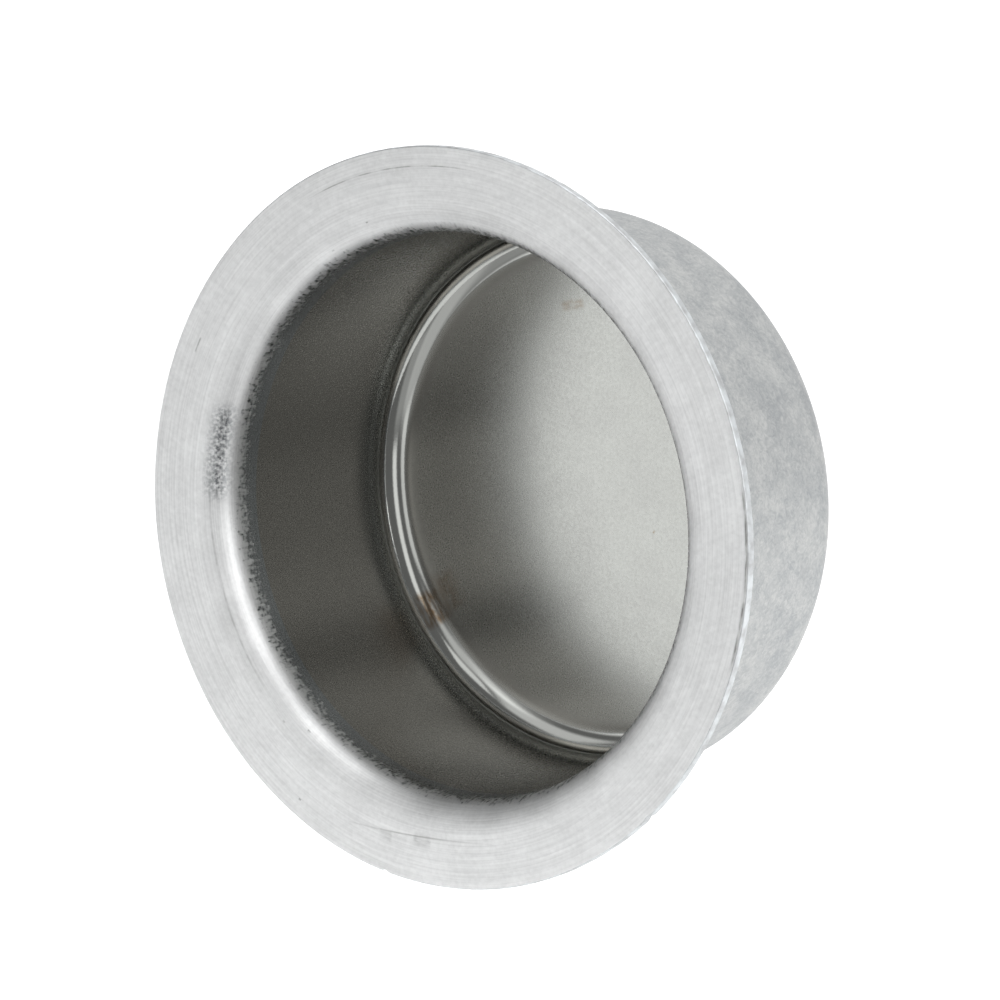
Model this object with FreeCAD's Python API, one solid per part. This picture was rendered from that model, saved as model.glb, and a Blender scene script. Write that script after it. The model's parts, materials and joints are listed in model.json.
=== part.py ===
import FreeCAD, Part
import math
import os

# Flush cup pull, drawn from one disc of sheet metal: a flat rim that lies on the door,
# a rolled lip, a straight round wall, a rounded corner and a flat floor.
# Millimetres. The origin is the centre of the rim's back face, where it meets the door.
# +Y goes into the door, so the mouth opens towards -Y, and +Z is up.

# Sizes that can each be set by themselves
holeDiameter = 35.0       # the drilled hole that the cup goes into, a standard size
holeClearance = 0.1       # between the wall and the hole, all round
rimOverlap = 4.5          # how far the rim covers the door past the hole's edge
overallDepth = 17.0       # from the front of the rim to the back of the floor
sheetThickness = 0.6      # the cup is drawn, not machined: one sheet, thinner only round the corner
lipRadius = 2.1           # convex bend from the rim's face into the cup, on the face side
cornerRadius = 2.0        # concave bend from the wall into the floor, on the inside
cornerBackRadius = 2.9    # convex bend behind it, more than a sheet larger: the draw thins it there
edgeBreak = 0.12          # bevel left by deburring the trimmed edge of the rim

# Places that follow from the sizes, in the section's plane: distance from the axis, and depth
rimFront = -sheetThickness
rimBack = 0.0
rimRadius = holeDiameter / 2 + rimOverlap
wallOutside = holeDiameter / 2 - holeClearance
wallInside = wallOutside - sheetThickness
floorBack = rimFront + overallDepth
floorInside = floorBack - sheetThickness
lipCentreRadius = wallInside + lipRadius
lipCentreDepth = rimFront + lipRadius
cornerCentreRadius = wallInside - cornerRadius
cornerCentreDepth = floorInside - cornerRadius
cornerBackCentreRadius = wallOutside - cornerBackRadius
cornerBackCentreDepth = floorBack - cornerBackRadius


def at(radius, depth):
    """A point of the section, at a distance from the axis and a depth into the door."""
    return FreeCAD.Vector(radius, depth, 0)


def bend(centreRadius, centreDepth, radius, startAngle, endAngle):
    """A round stretch of the section about its centre. Angle 0 points away from the axis,
    and 90 degrees points into the door."""
    def around(angle):
        turn = math.radians(angle)
        return at(centreRadius + radius * math.cos(turn), centreDepth + radius * math.sin(turn))
    middle = (startAngle + endAngle) / 2
    return Part.Arc(around(startAngle), around(middle), around(endAngle)).toShape()


def straight(start, end):
    """A straight stretch of the section."""
    return Part.LineSegment(start, end).toShape()


def faceSide():
    """The side that is seen and touched, from the floor's centre out to the rim's edge."""
    return [
        straight(at(0, floorInside), at(cornerCentreRadius, floorInside)),
        bend(cornerCentreRadius, cornerCentreDepth, cornerRadius, 90, 0),
        straight(at(wallInside, cornerCentreDepth), at(wallInside, lipCentreDepth)),
        bend(lipCentreRadius, lipCentreDepth, lipRadius, 180, 270),
        straight(at(lipCentreRadius, rimFront), at(rimRadius - edgeBreak, rimFront)),
    ]


def trimmedEdge():
    """The sheet's cut edge round the rim, with both of its corners lightly bevelled."""
    flatRadius = rimRadius - edgeBreak
    return [
        straight(at(flatRadius, rimFront), at(rimRadius, rimFront + edgeBreak)),
        straight(at(rimRadius, rimFront + edgeBreak), at(rimRadius, rimBack - edgeBreak)),
        straight(at(rimRadius, rimBack - edgeBreak), at(flatRadius, rimBack)),
    ]


def hiddenSide():
    """The side inside the door, one sheet thickness behind the face side, back to the axis.
    The lip's bend shares its centre with the one in front of it. The corner's has its own,
    because the sheet is thinnest half way round it, where it was drawn over the punch."""
    return [
        straight(at(rimRadius - edgeBreak, rimBack), at(lipCentreRadius, rimBack)),
        bend(lipCentreRadius, lipCentreDepth, lipRadius - sheetThickness, 270, 180),
        straight(at(wallOutside, lipCentreDepth), at(wallOutside, cornerBackCentreDepth)),
        bend(cornerBackCentreRadius, cornerBackCentreDepth, cornerBackRadius, 0, 90),
        straight(at(cornerBackCentreRadius, floorBack), at(0, floorBack)),
    ]


def flushCup():
    """The section closed along the axis and turned once about it."""
    alongAxis = [straight(at(0, floorBack), at(0, floorInside))]
    section = Part.Face(Part.Wire(faceSide() + trimmedEdge() + hiddenSide() + alongAxis))
    return section.revolve(FreeCAD.Vector(0, 0, 0), FreeCAD.Vector(0, 1, 0), 360)


os.makedirs("parts", exist_ok=True)
cup = flushCup()
cup.exportStep("parts/flush_cup.step")
print("flush_cup", cup.ShapeType, cup.isValid(), round(cup.Volume, 1), "mm3", cup.BoundBox)
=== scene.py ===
import json
import math

import bpy
import numpy as np
from mathutils import Matrix, Vector


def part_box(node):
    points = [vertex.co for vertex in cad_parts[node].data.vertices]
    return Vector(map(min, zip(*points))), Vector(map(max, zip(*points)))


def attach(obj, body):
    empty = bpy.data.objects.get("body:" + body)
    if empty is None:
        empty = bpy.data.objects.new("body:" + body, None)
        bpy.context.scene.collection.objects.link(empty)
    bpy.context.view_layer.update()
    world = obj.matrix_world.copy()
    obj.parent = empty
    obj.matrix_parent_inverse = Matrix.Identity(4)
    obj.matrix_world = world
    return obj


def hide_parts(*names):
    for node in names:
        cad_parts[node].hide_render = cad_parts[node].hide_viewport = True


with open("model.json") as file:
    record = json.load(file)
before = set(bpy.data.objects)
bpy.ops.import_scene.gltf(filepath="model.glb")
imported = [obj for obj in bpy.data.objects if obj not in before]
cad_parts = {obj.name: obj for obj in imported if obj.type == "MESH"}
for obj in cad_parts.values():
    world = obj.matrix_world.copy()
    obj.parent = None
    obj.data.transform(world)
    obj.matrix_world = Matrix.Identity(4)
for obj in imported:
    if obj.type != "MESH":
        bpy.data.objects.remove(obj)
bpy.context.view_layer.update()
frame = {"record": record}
mm = 0.001
scene = bpy.context.scene
scene.view_settings.view_transform = "Standard"
print("frame loaded")


def fromHex(code):
    # sRGB hex to the linear colour that the shaders take: c / 12.92, or ((c + 0.055) / 1.055) ^ 2.4
    parts = [int(code[i:i + 2], 16) / 255 for i in (0, 2, 4)]
    return [c / 12.92 if c <= 0.04045 else ((c + 0.055) / 1.055) ** 2.4 for c in parts] + [1.0]


def addNode(tree, kind, sockets=None, **settings):
    # sockets: name or number of an input, and its value, or the output or node that feeds it
    node = tree.nodes.new(kind)
    for name, value in settings.items():
        setattr(node, name, value)
    for name, value in (sockets or {}).items():
        if isinstance(value, bpy.types.Node):
            value = value.outputs[0]
        if isinstance(value, bpy.types.NodeSocket):
            tree.links.new(value, node.inputs[name])
        else:
            node.inputs[name].default_value = value
    return node


# The cup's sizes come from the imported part: its box, and the mount on the outside of its wall
boxLow, boxHigh = (np.array(corner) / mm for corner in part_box("flush_cup"))
wallMount = next(m for m in frame["record"]["mounts"] if m["name"] == "cup_body")
cup = {
    "rimFront": boxLow[1],
    "floorBack": boxHigh[1],
    "rimRadius": boxHigh[0],
    "wallOutside": wallMount["dims"]["r_mm"],
    "wallStart": wallMount["pos_m"][1] / mm - wallMount["dims"]["length_mm"] / 2,
    "wallEnd": wallMount["pos_m"][1] / mm + wallMount["dims"]["length_mm"] / 2,
    "cornerRadius": 2.0,      # mm, the inside bend between wall and floor; the sheet is thinned there
    "wallTopDepth": 3.6,      # mm, the wall above this depth takes the rim's material
    "edgeRound": 0.12,        # mm, the deburred corners of the trimmed edge
    "edgeZone": 0.8,          # mm, the width of rim that the edge's unevenness draws in
    "edgeWaves": (3, 5, 11),  # slow waves round the rim
    "edgeWander": 0.05,       # mm, how far they take the edge inwards
    "edgeBurr": 0.035,        # mm, its fine raggedness
    "burrDeg": 30,            # where the burr is strongest
    "burrLeast": 0.35,        # the share of it that is left on the other side
    "notchDeg": (313.2, 259.0),
    "notchDepth": 0.12,       # mm
    "notchHalfDeg": 0.45,
    "turns": 840,             # steps round the axis
    "seed": 7,
}


def roundStretch(centreRadius, centreDepth, radius, startDeg, endDeg, steps):
    # points of an arc about its centre: angle 0 points away from the axis, 90 into the door
    turn = np.radians(np.linspace(startDeg, endDeg, steps))
    return np.stack([centreRadius + radius * np.cos(turn), centreDepth + radius * np.sin(turn)], 1)


def straightStretch(start, end, steps):
    # evenly spaced points from start to end
    return np.linspace(start, end, steps)


def cupSection():
    # the cup's closed section from the floor's centre, up the face side, round the rim's edge and back
    # behind, as (distance from the axis, depth) in mm, with the number of points up to each stretch's end
    sheet = -cup["rimFront"]
    wallInside = cup["wallOutside"] - sheet
    lipRadius = cup["wallStart"] - cup["rimFront"]
    floorInside = cup["floorBack"] - sheet
    cornerRadius = cup["cornerRadius"]
    backRadius = cup["floorBack"] - cup["wallEnd"]
    lipCentre = (wallInside + lipRadius, cup["wallStart"])
    cornerCentre = (wallInside - cornerRadius, floorInside - cornerRadius)
    backCentre = (cup["wallOutside"] - backRadius, cup["wallEnd"])
    edge = cup["edgeRound"]
    edgeCentre = cup["rimRadius"] - edge
    stretches = {
        "floor": straightStretch((0, floorInside), (cornerCentre[0], floorInside), 8),
        "corner": roundStretch(*cornerCentre, cornerRadius, 90, 0, 18),
        "wall": straightStretch((wallInside, cornerCentre[1]), (wallInside, cup["wallTopDepth"]), 8),
        "wallTop": straightStretch((wallInside, cup["wallTopDepth"]), (wallInside, cup["wallStart"]), 4),
        "lip": roundStretch(*lipCentre, lipRadius, 180, 270, 18),
        "rim": straightStretch((lipCentre[0], cup["rimFront"]), (edgeCentre, cup["rimFront"]), 8),
        "edgeFront": roundStretch(edgeCentre, cup["rimFront"] + edge, edge, 270, 360, 5),
        "edgeBack": roundStretch(edgeCentre, -edge, edge, 0, 90, 5),
        "rimBack": straightStretch((edgeCentre, 0), (lipCentre[0], 0), 5),
        "lipBack": roundStretch(*lipCentre, lipRadius - sheet, 270, 180, 9),
        "outside": straightStretch((cup["wallOutside"], cup["wallStart"]),
                                   (cup["wallOutside"], cup["wallEnd"]), 9),
        "cornerBack": roundStretch(*backCentre, backRadius, 0, 90, 16),
        "floorBack": straightStretch((backCentre[0], cup["floorBack"]), (0, cup["floorBack"]), 7),
    }
    points, ends = [], {}
    for name, stretch in stretches.items():
        same = points and np.allclose(points[-1][-1], stretch[0])
        points.append(stretch[1:] if same else stretch)
        ends[name] = sum(len(p) for p in points)
    return np.concatenate(points), ends


def edgeShift(turn):
    # how far the trimmed edge lies inside its circle: slow waves brought to 0 to 1, fine raggedness that
    # comes and goes round the rim, and notches of the form exp(-(angle / half)^2)
    rng = np.random.default_rng(cup["seed"])
    phases = rng.uniform(0, 6.28, 3)
    slow = sum(np.cos(n * turn + phase) for n, phase in zip(cup["edgeWaves"], phases)) / 6 + 0.5
    ragged = rng.random(len(turn))
    ragged = 0.25 * np.roll(ragged, 1) + 0.5 * ragged + 0.25 * np.roll(ragged, -1)
    facing = np.clip(np.cos(turn - math.radians(cup["burrDeg"])), 0, 1)
    patchy = cup["burrLeast"] + (1 - cup["burrLeast"]) * facing
    shift = cup["edgeWander"] * slow + cup["edgeBurr"] * ragged * patchy
    for notchDeg in cup["notchDeg"]:
        away = (np.degrees(turn) - notchDeg + 180) % 360 - 180
        shift = shift + cup["notchDepth"] * np.exp(-(away / cup["notchHalfDeg"]) ** 2)
    return shift


def buildCup():
    # each point of the section is carried round the axis: x = r cos t, y = depth, z = r sin t,
    # and the outermost part of the rim is drawn in by the edge's shift
    section, ends = cupSection()
    ring = section[1:-1]
    rows, turns = len(ring), cup["turns"]
    turn = np.arange(turns) * 2 * np.pi / turns
    nearEdge = np.clip((ring[:, :1] - cup["rimRadius"]) / cup["edgeZone"] + 1, 0, 1) ** 2
    radius = ring[:, :1] - nearEdge * edgeShift(turn)
    depth = ring[:, 1:] * np.ones(turns)
    rings = np.stack([radius * np.cos(turn), depth, radius * np.sin(turn)], 2).reshape(-1, 3)
    poles = np.array([[0, section[0, 1], 0], [0, section[-1, 1], 0]])
    vertices = np.concatenate([rings, poles]) * mm
    row, step = np.meshgrid(np.arange(rows - 1), np.arange(turns), indexing="ij")
    nextStep = (step + 1) % turns
    quads = np.stack([row * turns + step, (row + 1) * turns + step,
                      (row + 1) * turns + nextStep, row * turns + nextStep], 2).reshape(-1, 4)
    # a fan of triangles closes the floor at its centre, in front and behind
    first = np.arange(turns)
    second = (first + 1) % turns
    last = (rows - 1) * turns
    frontCap = np.stack([np.full(turns, rows * turns), first, second], 1)
    backCap = np.stack([np.full(turns, rows * turns + 1), last + second, last + first], 1)
    mesh = bpy.data.meshes.new("cupShell")
    mesh.from_pydata(vertices, [], quads.tolist() + frontCap.tolist() + backCap.tolist())
    mesh.polygons.foreach_set("use_smooth", np.ones(len(mesh.polygons), dtype=bool))
    mesh.update()
    # which step of the section each face belongs to, for the materials
    faceRow = np.concatenate([row.reshape(-1) + 1, np.zeros(turns), np.full(turns, rows)])
    shell = bpy.data.objects.new("cupShell", mesh)
    scene.collection.objects.link(shell)
    return shell, faceRow, ends


# How the surfaces were worked. Sizes are in mm, and angles in degrees round the axis from +X towards +Z.
# Along means the distance from the axis less the depth, which grows from the floor's centre to the edge.
# Streaks are given by their size round the axis, their size along, and the radius where the first holds.
finish = {
    "grain": 0.15,                # of the drawn sheet
    "peel": 0.24,                 # orange peel of the stretched lip
    "cloud": 2.5,                 # cloudy patches
    "wornStreaks": (0.9, 0.25, 20),    # these break up the marks
}
rubbed = {
    "strokes": (7.0, 0.13, 20),
    "padCentre": (-1.0, 41.0),    # the pad also left strokes about a centre far above the axis
    "padStrokes": (30.0, 0.3, 60),
    "padShare": 0.3,              # how far these strokes and the orange peel count in the tone
    "peelShare": 0.6,
    "tones": {"low": 1.1, "high": 1.8, "dark": "dfe0e0", "light": "f8f9f9"},
    "markColour": "70716f",
    "strokeHeight": 0.006,
    "roughness": (0.52, 0.6),
    "lipRoughness": 0.45,         # the pad only skims the bend, so it stays smoother than the flat rim
    "lipDepths": (-0.5, 0.05),    # over which the roughness changes to that
    "depth": 0.85,                # where the rubbing runs out inside the lip, on average
    "litSideReach": 0.85,               # painted highlight: the rubbed, lighter finish reaches this much further in on the side where the lamps light the lip, less on the other
    "litSideDeg": 203,
    "fade": 0.5,                  # half of the depth over which it fades
    "ragged": 2.4,                # how strongly draw lines and orange peel break up that border
    "drawLines": (0.17, 0.9, 17),
    "borderDepths": (-0.3, 0.4),  # the border begins between these, so none of it is on the flat rim
    "unrubbedColour": "9c9fa1",
    "unrubbedRoughness": 0.27,
}
# where the pad missed the lip and the stretched sheet's dark cells show
missed = {"along": 17.4, "width": 1.8, "middleDeg": 171.5, "halfDeg": 11.0, "cell": 0.2}
inside = {
    "colours": ("a7a8a5", "b4b6b2"),
    "wallColour": "9d9a95",       # the wall is darker than the floor
    "wallAlong": (2.0, 4.5),
    # brown of the marks inside, and of the painted reflection of a warm thing in the corner
    "marksAndReflectionColour": "86735c",
    "roughness": (0.24, 0.3),
    "grainHeight": 0.0012,
    "burnished": 0.09,            # roughness of the corner, which the punch burnished
    "burnishedFrom": (-1.6, -0.6),    # along, on the floor's side and on the wall's
    "burnishedTo": (2.4, 1.4),
}
trimmed = {
    "shearLines": (0.16, 0.7, 22),
    "shearHeight": 0.006,
    "patch": 0.8,
    "tones": {"low": 0.3, "high": 0.6, "dark": "b4b5b6", "light": "d6dadc"},
    "roughness": 0.45,
}
outside = {
    "drawLines": (0.2, 4, 17.4),
    "lineHeight": 0.004,
    "cloud": 2.2,
    "scuff": 0.38,                # short crooked scuffs over the clouds
    "scuffShare": 0.9,
    "tones": {"low": 0.76, "high": 1.14, "dark": "a3a6a8", "light": "c4c5c4"},
    "net": 1.5,                   # mesh width of the net of hairline marks
    "netWidth": 0.06,             # of a hairline, as a share of the mesh
    "pull": 0.9,                  # size of the noise that pulls the net out of shape
    "pullBy": 1.1,                # how far, from one extreme to the other
    "netPlaces": (0.45, 0.6),     # the net shows where that noise is high
    "netStrength": 0.3,
    "netColour": "9c9ea0",
    "roughness": (0.44, 0.58),
}
# Marks on the face side: how far along they are, width, middle angle, half of the angle that they cover,
# and how dark they are
rimMarks = [
    (21.38, 0.07, 100.0, 19.0, 0.6),     # long thin scratch near the top edge
    (18.1, 0.14, 197.0, 26.0, 0.3),      # where the lip starts to bend
    (21.5, 0.12, 239.3, 0.3, 0.8),       # specks
    (18.39, 0.12, 228.0, 0.35, 0.7),
    (18.46, 0.1, 107.8, 0.3, 0.7),
    (17.48, 0.1, 118.7, 0.4, 0.6),
    (17.32, 0.17, 233.0, 0.5, 0.9),
    (21.1, 0.1, 153.8, 1.6, 0.5),
    (20.0, 0.7, 266.0, 2.2, 0.35),       # smudges
    (20.4, 0.6, 258.0, 1.6, 0.28),
    (22.4, 0.14, 356.0, 16.0, 0.8),      # knocks along the trimmed edge
]
# a scratch that runs nearly straight across the bottom of the rim, about the pad's centre
padMarks = [(60.72, 0.08, 269.5, 5.6, 0.45)]
# marks inside the cup, and a painted reflection of a warm thing in the corner
insideMarksAndReflection = [
    (0.2, 2.0, 213.5, 5.0, 1.0),         # brown painted reflection of a warm thing, in the corner
    (-11.37, 0.12, 328.1, 1.6, 0.8),     # fleck on the floor
    (-4.44, 0.5, 102.2, 5.0, 0.5),       # smudge on the floor
    (-1.6, 1.6, 212.0, 6.0, 0.5),        # where that painted reflection runs out on the floor
]


def cupPlaces(tree, centre=(0, 0)):
    # where a point of the cup lies, in mm: its place, its depth, its distance from the axis or from a centre
    # beside it, the distance along the section, and the direction round that centre
    coords = addNode(tree, "ShaderNodeTexCoord")
    place = addNode(tree, "ShaderNodeVectorMath", {0: coords.outputs["Object"], "Scale": 1 / mm},
                    operation="SCALE")
    moved = addNode(tree, "ShaderNodeVectorMath", {0: place, 1: (centre[0], 0, centre[1])},
                    operation="SUBTRACT")
    flat = addNode(tree, "ShaderNodeVectorMath", {0: moved, 1: (1, 0, 1)}, operation="MULTIPLY")
    depth = addNode(tree, "ShaderNodeSeparateXYZ", {0: place}).outputs["Y"]
    distance = addNode(tree, "ShaderNodeVectorMath", {0: flat}, operation="LENGTH").outputs["Value"]
    along = addNode(tree, "ShaderNodeMath", {0: distance, 1: depth}, operation="SUBTRACT")
    around = addNode(tree, "ShaderNodeVectorMath", {0: flat}, operation="NORMALIZE")
    return {"place": place.outputs[0], "depth": depth, "along": along.outputs[0], "around": around.outputs[0]}


def streaks(tree, where, roundSize, alongSize, atRadius):
    # noise drawn out round the centre or along the section, from direction * radius / roundSize and
    # along / alongSize
    turned = addNode(tree, "ShaderNodeVectorMath", {0: where["around"], "Scale": atRadius / roundSize},
                     operation="SCALE")
    along = addNode(tree, "ShaderNodeMath", {0: where["along"], 1: 1 / alongSize}, operation="MULTIPLY")
    level = addNode(tree, "ShaderNodeCombineXYZ", {"Y": along})
    spot = addNode(tree, "ShaderNodeVectorMath", {0: turned, 1: level}, operation="ADD")
    return addNode(tree, "ShaderNodeTexNoise", {"Vector": spot, "Scale": 1, "Detail": 3})


def facingDeg(tree, where, angleDeg):
    # cosine of the angle round the axis between a point and the given one
    angle = math.radians(angleDeg)
    return addNode(tree, "ShaderNodeVectorMath",
                   {0: where["around"], 1: (math.cos(angle), 0, math.sin(angle))},
                   operation="DOT_PRODUCT").outputs["Value"]


def arcMark(tree, where, along, width, middleDeg, halfDeg, dark):
    # a mark round the axis: darkest on its line, gone at its width and at its ends
    away = addNode(tree, "ShaderNodeMath", {0: where["along"], 1: along}, operation="SUBTRACT")
    away = addNode(tree, "ShaderNodeMath", {0: away}, operation="ABSOLUTE")
    across = addNode(tree, "ShaderNodeMapRange",
                     {"Value": away, "From Min": 0, "From Max": width, "To Min": dark, "To Max": 0},
                     interpolation_type="SMOOTHSTEP")
    span = addNode(tree, "ShaderNodeMapRange",
                   {"Value": facingDeg(tree, where, middleDeg),
                    "From Min": math.cos(math.radians(halfDeg)),
                    "From Max": math.cos(math.radians(halfDeg * 0.6))},
                   interpolation_type="SMOOTHSTEP")
    return addNode(tree, "ShaderNodeMath", {0: across, 1: span}, operation="MULTIPLY")


def marksOn(tree, where, marks):
    # all marks of a list together, broken up by short streaks so that none is a clean line
    worn = addNode(tree, "ShaderNodeMapRange",
                   {"Value": streaks(tree, where, *finish["wornStreaks"]), "From Min": 0.35,
                    "From Max": 0.6, "To Min": 0.25, "To Max": 1})
    total = 0.0
    for mark in marks:
        total = addNode(tree, "ShaderNodeMath", {0: arcMark(tree, where, *mark), 1: total},
                        operation="MAXIMUM")
    return addNode(tree, "ShaderNodeMath", {0: total, 1: worn}, operation="MULTIPLY")


def tonedBy(tree, value, tones):
    # a colour between two: the dark one where the value is low, the light one where it is high
    amount = addNode(tree, "ShaderNodeMapRange",
                     {"Value": value, "From Min": tones["low"], "From Max": tones["high"]})
    return addNode(tree, "ShaderNodeMix",
                   {0: amount, 6: fromHex(tones["dark"]), 7: fromHex(tones["light"])},
                   data_type="RGBA").outputs[2]


def startMetal(name):
    material = bpy.data.materials.new(name)
    material.use_nodes = True
    shader = material.node_tree.nodes["Principled BSDF"]
    shader.inputs["Metallic"].default_value = 1.0
    return material, material.node_tree, shader


def rubbedAway(tree, where, peel):
    # 0 where the pad has rubbed, 1 where the drawn sheet is as it was: by depth inside the lip, with a ragged
    # edge of draw lines and orange peel; the rubbed, lighter part reaches further in on the side where the
    # lamps light the lip, which is painted highlight
    litShiftedDepth = addNode(tree, "ShaderNodeMath", {0: facingDeg(tree, where, rubbed["litSideDeg"]),
                                             1: -rubbed["litSideReach"], 2: where["depth"]},
                    operation="MULTIPLY_ADD")
    drawLines = streaks(tree, where, *rubbed["drawLines"])
    ragged = addNode(tree, "ShaderNodeMath", {0: drawLines, 1: peel}, operation="ADD")
    level = addNode(tree, "ShaderNodeMath", {0: ragged, 1: rubbed["ragged"], 2: litShiftedDepth},
                    operation="MULTIPLY_ADD")
    middle = rubbed["depth"] + rubbed["ragged"]    # the two noises add 1 on average
    fade = addNode(tree, "ShaderNodeMapRange", {"Value": level, "From Min": middle - rubbed["fade"],
                                                "From Max": middle + rubbed["fade"]},
                   interpolation_type="SMOOTHSTEP")
    start, full = rubbed["borderDepths"]
    inLip = addNode(tree, "ShaderNodeMapRange",
                    {"Value": where["depth"], "From Min": start, "From Max": full})
    fade = addNode(tree, "ShaderNodeMath", {0: fade, 1: inLip}, operation="MULTIPLY")
    # the missed place: the cells between the high spots that the pad did touch
    cells = addNode(tree, "ShaderNodeTexNoise",
                    {"Vector": where["place"], "Scale": 1 / missed["cell"], "Detail": 3})
    cells = addNode(tree, "ShaderNodeMapRange",
                    {"Value": cells, "From Min": 0.36, "From Max": 0.62, "To Max": 1.1})
    spot = arcMark(tree, where, missed["along"], missed["width"], missed["middleDeg"],
                   missed["halfDeg"], 1)
    cells = addNode(tree, "ShaderNodeMath", {0: cells, 1: spot}, operation="MULTIPLY")
    return addNode(tree, "ShaderNodeMath", {0: fade, 1: cells}, operation="MAXIMUM")


def rubbedRim():
    # satin aluminium, rubbed round the rim with a fine abrasive pad: pale and broad in its gloss, with soft
    # strokes round the axis and a few that follow the pad instead; the rubbing runs out inside the lip
    material, tree, shader = startMetal("rubbedRim")
    where, aside = cupPlaces(tree), cupPlaces(tree, rubbed["padCentre"])
    strokes = streaks(tree, where, *rubbed["strokes"])
    padStrokes = streaks(tree, aside, *rubbed["padStrokes"])
    cloud = addNode(tree, "ShaderNodeTexNoise",
                    {"Vector": where["place"], "Scale": 1 / finish["cloud"], "Detail": 5})
    peel = addNode(tree, "ShaderNodeTexNoise",
                   {"Vector": where["place"], "Scale": 1 / finish["peel"], "Detail": 2})
    both = addNode(tree, "ShaderNodeMath", {0: padStrokes, 1: rubbed["padShare"], 2: strokes},
                   operation="MULTIPLY_ADD")
    mixed = addNode(tree, "ShaderNodeMath", {0: both, 1: cloud}, operation="ADD")
    mixed = addNode(tree, "ShaderNodeMath", {0: peel, 1: rubbed["peelShare"], 2: mixed},
                    operation="MULTIPLY_ADD")
    colour = tonedBy(tree, mixed, rubbed["tones"])
    unrubbed = rubbedAway(tree, where, peel)
    for amount, over in ((marksOn(tree, where, rimMarks), "markColour"),
                         (marksOn(tree, aside, padMarks), "markColour"), (unrubbed, "unrubbedColour")):
        colour = addNode(tree, "ShaderNodeMix", {0: amount, 6: colour, 7: fromHex(rubbed[over])},
                         data_type="RGBA").outputs[2]
    tree.links.new(colour, shader.inputs["Base Color"])
    satin = addNode(tree, "ShaderNodeMapRange",
                    {"Value": cloud, "From Min": 0.3, "From Max": 0.7,
                     "To Min": rubbed["roughness"][0], "To Max": rubbed["roughness"][1]})
    bent = addNode(tree, "ShaderNodeMapRange",
                   {"Value": where["depth"], "From Min": rubbed["lipDepths"][0],
                    "From Max": rubbed["lipDepths"][1]}, interpolation_type="SMOOTHSTEP")
    satin = addNode(tree, "ShaderNodeMix", {0: bent, 2: satin, 3: rubbed["lipRoughness"]})
    roughness = addNode(tree, "ShaderNodeMix", {0: unrubbed, 2: satin, 3: rubbed["unrubbedRoughness"]})
    tree.links.new(roughness.outputs[0], shader.inputs["Roughness"])
    shader.inputs["Anisotropic"].default_value = 0.5
    shader.inputs["Anisotropic Rotation"].default_value = 0.25
    tangent = addNode(tree, "ShaderNodeTangent", direction_type="RADIAL", axis="Y")
    tree.links.new(tangent.outputs[0], shader.inputs["Tangent"])
    bump = addNode(tree, "ShaderNodeBump", {"Height": both, "Distance": rubbed["strokeHeight"] * mm})
    tree.links.new(bump.outputs[0], shader.inputs["Normal"])
    return material


def drawnInside():
    # the same sheet as it came from the draw: duller and a little warm, with the sheet's fine grain
    material, tree, shader = startMetal("drawnInside")
    where = cupPlaces(tree)
    grain = addNode(tree, "ShaderNodeTexNoise",
                    {"Vector": where["place"], "Scale": 1 / finish["grain"], "Detail": 2})
    cloud = addNode(tree, "ShaderNodeTexNoise",
                    {"Vector": where["place"], "Scale": 1 / finish["cloud"], "Detail": 5})
    dark, light = map(fromHex, inside["colours"])
    colour = addNode(tree, "ShaderNodeMix", {0: cloud, 6: dark, 7: light}, data_type="RGBA").outputs[2]
    onWall = addNode(tree, "ShaderNodeMapRange",
                     {"Value": where["along"], "From Min": inside["wallAlong"][0],
                      "From Max": inside["wallAlong"][1]}, interpolation_type="SMOOTHSTEP")
    for amount, over in ((onWall, "wallColour"), (marksOn(tree, where, insideMarksAndReflection), "marksAndReflectionColour")):
        colour = addNode(tree, "ShaderNodeMix", {0: amount, 6: colour, 7: fromHex(inside[over])},
                         data_type="RGBA").outputs[2]
    tree.links.new(colour, shader.inputs["Base Color"])
    satin = addNode(tree, "ShaderNodeMapRange",
                    {"Value": grain, "From Min": 0.3, "From Max": 0.7,
                     "To Min": inside["roughness"][0], "To Max": inside["roughness"][1]})
    # 1 half way round the burnished corner, 0 a little way up the wall and on to the floor
    fromFloor, fromWall = (
        addNode(tree, "ShaderNodeMapRange",
                {"Value": where["along"], "From Min": start, "From Max": full},
                interpolation_type="SMOOTHSTEP")
        for start, full in (inside["burnishedFrom"], inside["burnishedTo"]))
    burnished = addNode(tree, "ShaderNodeMath", {0: fromFloor, 1: fromWall}, operation="MULTIPLY")
    roughness = addNode(tree, "ShaderNodeMix", {0: burnished, 2: satin, 3: inside["burnished"]})
    tree.links.new(roughness.outputs[0], shader.inputs["Roughness"])
    bump = addNode(tree, "ShaderNodeBump", {"Height": grain, "Distance": inside["grainHeight"] * mm})
    tree.links.new(bump.outputs[0], shader.inputs["Normal"])
    return material


def trimmedEdge():
    # the rim's edge, sheared and deburred, with short shear lines across the sheet
    material, tree, shader = startMetal("trimmedEdge")
    where = cupPlaces(tree)
    shear = streaks(tree, where, *trimmed["shearLines"])
    patches = addNode(tree, "ShaderNodeTexNoise",
                      {"Vector": where["place"], "Scale": 1 / trimmed["patch"], "Detail": 4})
    tree.links.new(tonedBy(tree, patches, trimmed["tones"]), shader.inputs["Base Color"])
    shader.inputs["Roughness"].default_value = trimmed["roughness"]
    bump = addNode(tree, "ShaderNodeBump", {"Height": shear, "Distance": trimmed["shearHeight"] * mm})
    tree.links.new(bump.outputs[0], shader.inputs["Normal"])
    return material


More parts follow.
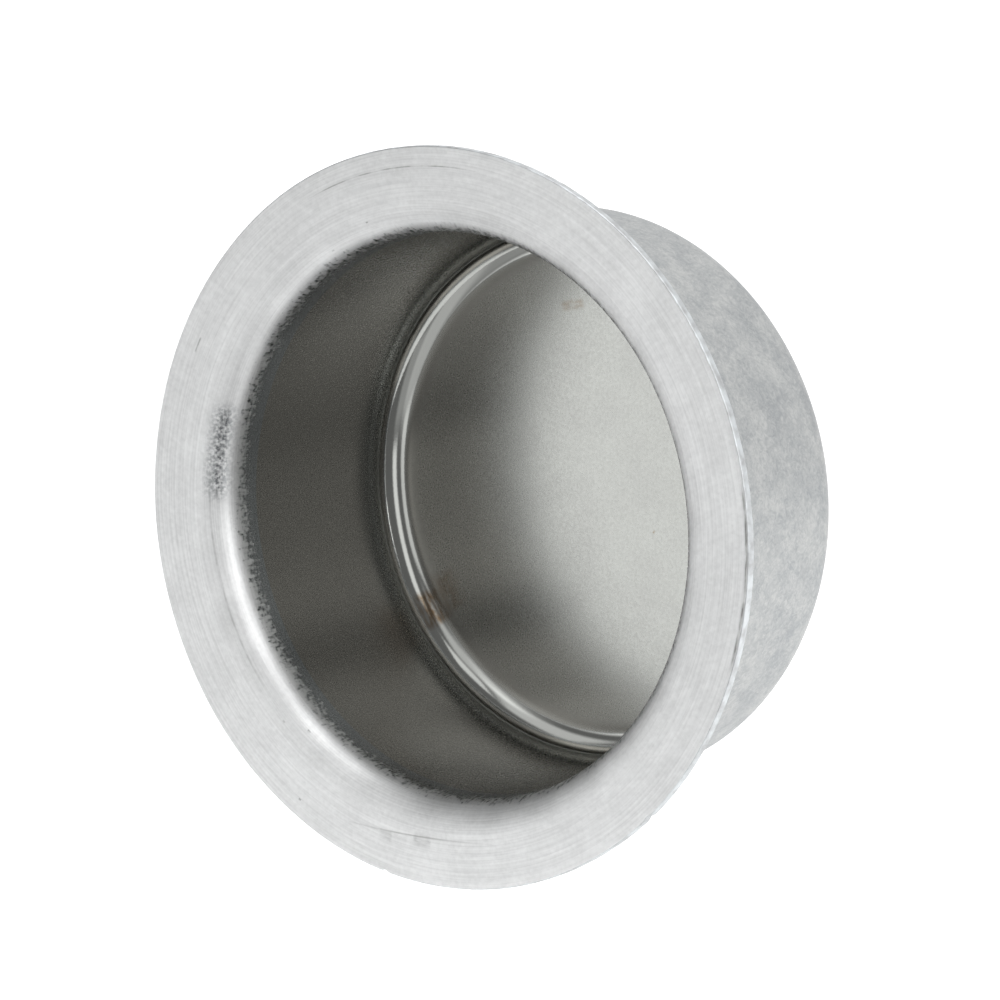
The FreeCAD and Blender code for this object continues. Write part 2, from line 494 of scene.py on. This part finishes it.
def rubbedOutside():
    # the outside, scuffed by the die and by handling: matt, cloudy grey with fine draw lines along the wall
    # and a faint net of hairline marks
    material, tree, shader = startMetal("rubbedOutside")
    where = cupPlaces(tree)
    drawLines = streaks(tree, where, *outside["drawLines"])
    cloud = addNode(tree, "ShaderNodeTexNoise",
                    {"Vector": where["place"], "Scale": 1 / outside["cloud"], "Detail": 7,
                     "Roughness": 0.74, "Distortion": 0.4})
    pull = addNode(tree, "ShaderNodeTexNoise",
                   {"Vector": where["place"], "Scale": 1 / outside["pull"], "Detail": 3})
    pulled = addNode(tree, "ShaderNodeVectorMath",
                     {0: pull.outputs["Color"], 1: (outside["pullBy"],) * 3, 2: where["place"]},
                     operation="MULTIPLY_ADD")
    net = addNode(tree, "ShaderNodeTexVoronoi", {"Vector": pulled, "Scale": 1 / outside["net"]},
                  feature="DISTANCE_TO_EDGE")
    shown = addNode(tree, "ShaderNodeMapRange",
                    {"Value": pull, "From Min": outside["netPlaces"][0],
                     "From Max": outside["netPlaces"][1], "To Max": outside["netStrength"]})
    line = addNode(tree, "ShaderNodeMapRange",
                   {"Value": net, "From Min": 0, "From Max": outside["netWidth"], "To Min": 1, "To Max": 0})
    hairline = addNode(tree, "ShaderNodeMath", {0: line, 1: shown}, operation="MULTIPLY")
    scuffs = addNode(tree, "ShaderNodeTexNoise",
                     {"Vector": where["place"], "Scale": 1 / outside["scuff"], "Detail": 4,
                      "Roughness": 0.7, "Distortion": 1.6})
    mixed = addNode(tree, "ShaderNodeMath", {0: scuffs, 1: outside["scuffShare"], 2: cloud},
                    operation="MULTIPLY_ADD")
    colour = addNode(tree, "ShaderNodeMix",
                     {0: hairline, 6: tonedBy(tree, mixed, outside["tones"]),
                      7: fromHex(outside["netColour"])}, data_type="RGBA").outputs[2]
    tree.links.new(colour, shader.inputs["Base Color"])
    roughness = addNode(tree, "ShaderNodeMapRange",
                        {"Value": cloud, "From Min": 0.3, "From Max": 0.7,
                         "To Min": outside["roughness"][0], "To Max": outside["roughness"][1]})
    tree.links.new(roughness.outputs[0], shader.inputs["Roughness"])
    bump = addNode(tree, "ShaderNodeBump", {"Height": drawLines, "Distance": outside["lineHeight"] * mm})
    tree.links.new(bump.outputs[0], shader.inputs["Normal"])
    return material


shell, faceRow, ends = buildCup()
for material in (drawnInside(), rubbedRim(), trimmedEdge(), rubbedOutside()):
    shell.data.materials.append(material)
# the first material reaches up to the top of the wall, the second to the edge, the third round it
zone = np.digitize(faceRow, [ends[name] - 0.5 for name in ("wall", "rim", "edgeBack")])
shell.data.polygons.foreach_set("material_index", zone.astype(np.int32))
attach(shell, "root")
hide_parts("flush_cup")
print("cup made:", len(shell.data.polygons), "faces")

# The camera stands right of the cup's axis and a little above it
view = {
    "azimuthDeg": 36.99,
    "elevationDeg": 8.27,
    "distance": 330.5,          # mm, from the lens to the plane of the rim's centre
    "pixelsPerUnit": 5635.4,    # image distance in pixels
    "imageSide": 1000,
    "rimCentrePixel": (439.66, 520.09),
}


def direction(az, el):
    # to azimuth az, where 0 is -Y and 90 degrees is +X, and elevation el:
    # x = sin az cos el, y = -cos az cos el, z = sin el
    return np.array([np.sin(az) * np.cos(el), -np.cos(az) * np.cos(el), np.sin(el)])


def makeCamera():
    az, el = math.radians(view["azimuthDeg"]), math.radians(view["elevationDeg"])
    back = Vector(direction(az, el))
    right = Vector((math.cos(az), math.sin(az), 0))
    up = back.cross(right)
    middle = view["imageSide"] / 2
    perPixel = view["distance"] / view["pixelsPerUnit"]
    sideways = (middle - view["rimCentrePixel"][0]) * perPixel
    upwards = (view["rimCentrePixel"][1] - middle) * perPixel
    place = Vector((0, cup["rimFront"], 0)) + back * view["distance"] + right * sideways + up * upwards
    lens = bpy.data.cameras.new("camera")
    lens.sensor_width = 36
    lens.lens = view["pixelsPerUnit"] * lens.sensor_width / view["imageSide"]
    lens.clip_start = 0.01
    camera = bpy.data.objects.new("camera", lens)
    turned = Matrix((right, up, back)).transposed().to_4x4()
    camera.matrix_world = Matrix.Translation(place * mm) @ turned
    scene.collection.objects.link(camera)
    scene.camera = camera


makeCamera()
print("camera placed")

studio = {
    "floorDrop": 45.0,        # mm, the floor below the cup's axis
    "floorAhead": 30.0,       # mm, how far the floor reaches in front of the rim
    "floorSide": 1.5,         # m, from the axis to its other edges
    "floorLift": 0.35,        # light added to the floor's picture so that it shows white
    "tentRadius": 0.6,        # m
    "tentSides": (-88, 66),   # degrees round the cup, as seen from it: -Y is 0 and +X is 90
    "tentHeights": (-68, 82),
    "tentSteps": 40,
    "tentLevel": 0.21,
    "lampDistance": 0.5,      # m
}
# The softboxes and reflectors on the tent round the camera, which is dark elsewhere: middle, width and
# height in degrees as seen from the cup, how soft their borders are, and radiance, where 1 is a white
# backdrop
softboxes = {
    "window": {"middle": (-34, -8), "size": (26, 30), "soft": 12, "radiance": 1.42},
    "windowSide": {"middle": (-60, -8), "size": (26, 50), "soft": 12, "radiance": 0.25},
    "strip": {"middle": (29.5, 7), "size": (14, 42), "soft": 7, "radiance": 1.2},
    "stripFoot": {"middle": (24, -32), "size": (26, 28), "soft": 10, "radiance": 0.33},
    "band": {"middle": (-1, -5), "size": (14, 24), "soft": 7, "radiance": 0.9},
    "bandTop": {"middle": (-7, 24), "size": (30, 18), "soft": 10, "radiance": 0.67},
    "topBar": {"middle": (7, 42), "size": (24, 12), "soft": 6, "radiance": 1.0},
    "upperLeft": {"middle": (-28, 38), "size": (36, 26), "soft": 10, "radiance": 0.76},
    "table": {"middle": (-2, -38), "size": (30, 44), "soft": 12, "radiance": 0.6},
    "tableLeft": {"middle": (-32, -44), "size": (28, 34), "soft": 12, "radiance": 0.31},
    "left": {"middle": (-20, 15), "size": (16, 24), "soft": 10, "radiance": 0.33},
}
# The lamps beside the cup, past the tent's edge: direction in degrees, size in m, and radiance
softLamps = {
    "sideLow": {"azimuthDeg": 76, "elevationDeg": -8, "size": (0.2, 0.16), "radiance": 0.6},
    "sideMid": {"azimuthDeg": 76, "elevationDeg": 15, "size": (0.2, 0.22), "radiance": 2.4},
    "sideHigh": {"azimuthDeg": 76, "elevationDeg": 42, "size": (0.2, 0.22), "radiance": 2.5},
    "sideTop": {"azimuthDeg": 76, "elevationDeg": 68, "size": (0.2, 0.2), "radiance": 1.8},
    "overhead": {"azimuthDeg": 20, "elevationDeg": 84, "size": (0.3, 0.3), "radiance": 1.9},
}


def addSheet(name, mesh, colour):
    sheet = bpy.data.objects.new(name, mesh)
    scene.collection.objects.link(sheet)
    material = bpy.data.materials.new(name)
    material.use_nodes = True
    tree = material.node_tree
    shader = tree.nodes["Principled BSDF"]
    shader.inputs["Base Color"].default_value = fromHex(colour)
    shader.inputs["Roughness"].default_value = 1.0
    shader.inputs["Specular IOR Level"].default_value = 0.0
    shader.inputs["Emission Color"].default_value = (1, 1, 1, 1)
    mesh.materials.append(material)
    return sheet, tree, shader


def makeFloor():
    side, front, height = studio["floorSide"], -studio["floorAhead"] * mm, -studio["floorDrop"] * mm
    mesh = bpy.data.meshes.new("floor")
    corners = [(-side, front, height), (side, front, height), (side, side, height), (-side, side, height)]
    mesh.from_pydata(corners, [], [(0, 1, 2, 3)])
    tree, shader = addSheet("floor", mesh, "f2f2f2")[1:]
    rays = addNode(tree, "ShaderNodeLightPath").outputs
    seen = addNode(tree, "ShaderNodeMath", {0: rays["Is Camera Ray"], 1: rays["Is Glossy Ray"]})
    seen = addNode(tree, "ShaderNodeMath", {0: seen, 1: rays["Is Transmission Ray"]})
    lift = addNode(tree, "ShaderNodeMath", {0: seen, 1: studio["floorLift"]}, operation="MULTIPLY")
    tree.links.new(lift.outputs[0], shader.inputs["Emission Strength"])


def makeTent():
    # part of a ball about the cup, which the camera doesn't see
    steps = studio["tentSteps"]
    az, el = np.meshgrid(np.radians(np.linspace(*studio["tentSides"], steps + 1)),
                         np.radians(np.linspace(*studio["tentHeights"], steps + 1)))
    points = direction(az.reshape(-1), el.reshape(-1)).T
    row, column = np.meshgrid(np.arange(steps), np.arange(steps), indexing="ij")
    first = (row * (steps + 1) + column).reshape(-1)
    above = first + steps + 1
    mesh = bpy.data.meshes.new("tent")
    mesh.from_pydata(points * studio["tentRadius"], [],
                     np.stack([first, first + 1, above + 1, above], 1).tolist())
    tent, tree, shader = addSheet("tent", mesh, "202020")
    tent.visible_camera = False
    coords = addNode(tree, "ShaderNodeTexCoord")
    towards = addNode(tree, "ShaderNodeVectorMath", {0: coords.outputs["Object"]}, operation="NORMALIZE")
    parts = addNode(tree, "ShaderNodeSeparateXYZ", {0: towards}).outputs
    ahead = addNode(tree, "ShaderNodeMath", {0: parts["Y"], 1: -1}, operation="MULTIPLY")
    azimuth = addNode(tree, "ShaderNodeMath", {0: parts["X"], 1: ahead}, operation="ARCTAN2")
    elevation = addNode(tree, "ShaderNodeMath", {0: parts["Z"]}, operation="ARCSINE")
    light = studio["tentLevel"]
    for box in softboxes.values():
        patch = box["radiance"]
        for angle, middle, size in zip((azimuth, elevation), box["middle"], box["size"]):
            away = addNode(tree, "ShaderNodeMath", {0: angle, 1: math.radians(middle)},
                           operation="SUBTRACT")
            away = addNode(tree, "ShaderNodeMath", {0: away}, operation="ABSOLUTE")
            within = addNode(tree, "ShaderNodeMapRange",
                             {"Value": away, "From Min": math.radians(size / 2 + box["soft"] / 2),
                              "From Max": math.radians(size / 2 - box["soft"] / 2)},
                             interpolation_type="SMOOTHSTEP")
            patch = addNode(tree, "ShaderNodeMath", {0: patch, 1: within}, operation="MULTIPLY")
        light = addNode(tree, "ShaderNodeMath", {0: patch, 1: light})
    tree.links.new(light.outputs[0], shader.inputs["Emission Strength"])


def makeLamp(name, lamp):
    # an area lamp of radiance L and area A gives pi L A watts
    az, el = math.radians(lamp["azimuthDeg"]), math.radians(lamp["elevationDeg"])
    outward = Vector(direction(az, el))
    level = Vector((math.cos(az), math.sin(az), 0))
    width, height = lamp["size"]
    light = bpy.data.lights.new(name, "AREA")
    light.shape = "RECTANGLE"
    light.size, light.size_y = width, height
    light.energy = math.pi * lamp["radiance"] * width * height
    made = bpy.data.objects.new(name, light)
    turned = Matrix((level, outward.cross(level), outward)).transposed().to_4x4()
    made.matrix_world = Matrix.Translation(outward * studio["lampDistance"]) @ turned
    made.visible_camera = False
    scene.collection.objects.link(made)


def makeWorld():
    world = bpy.data.worlds.new("studio")
    world.use_nodes = True
    world.node_tree.nodes["Background"].inputs["Color"].default_value = (1, 1, 1, 1)
    scene.world = world


makeFloor()
makeTent()
for name, lamp in softLamps.items():
    makeLamp(name, lamp)
makeWorld()
print("studio made")
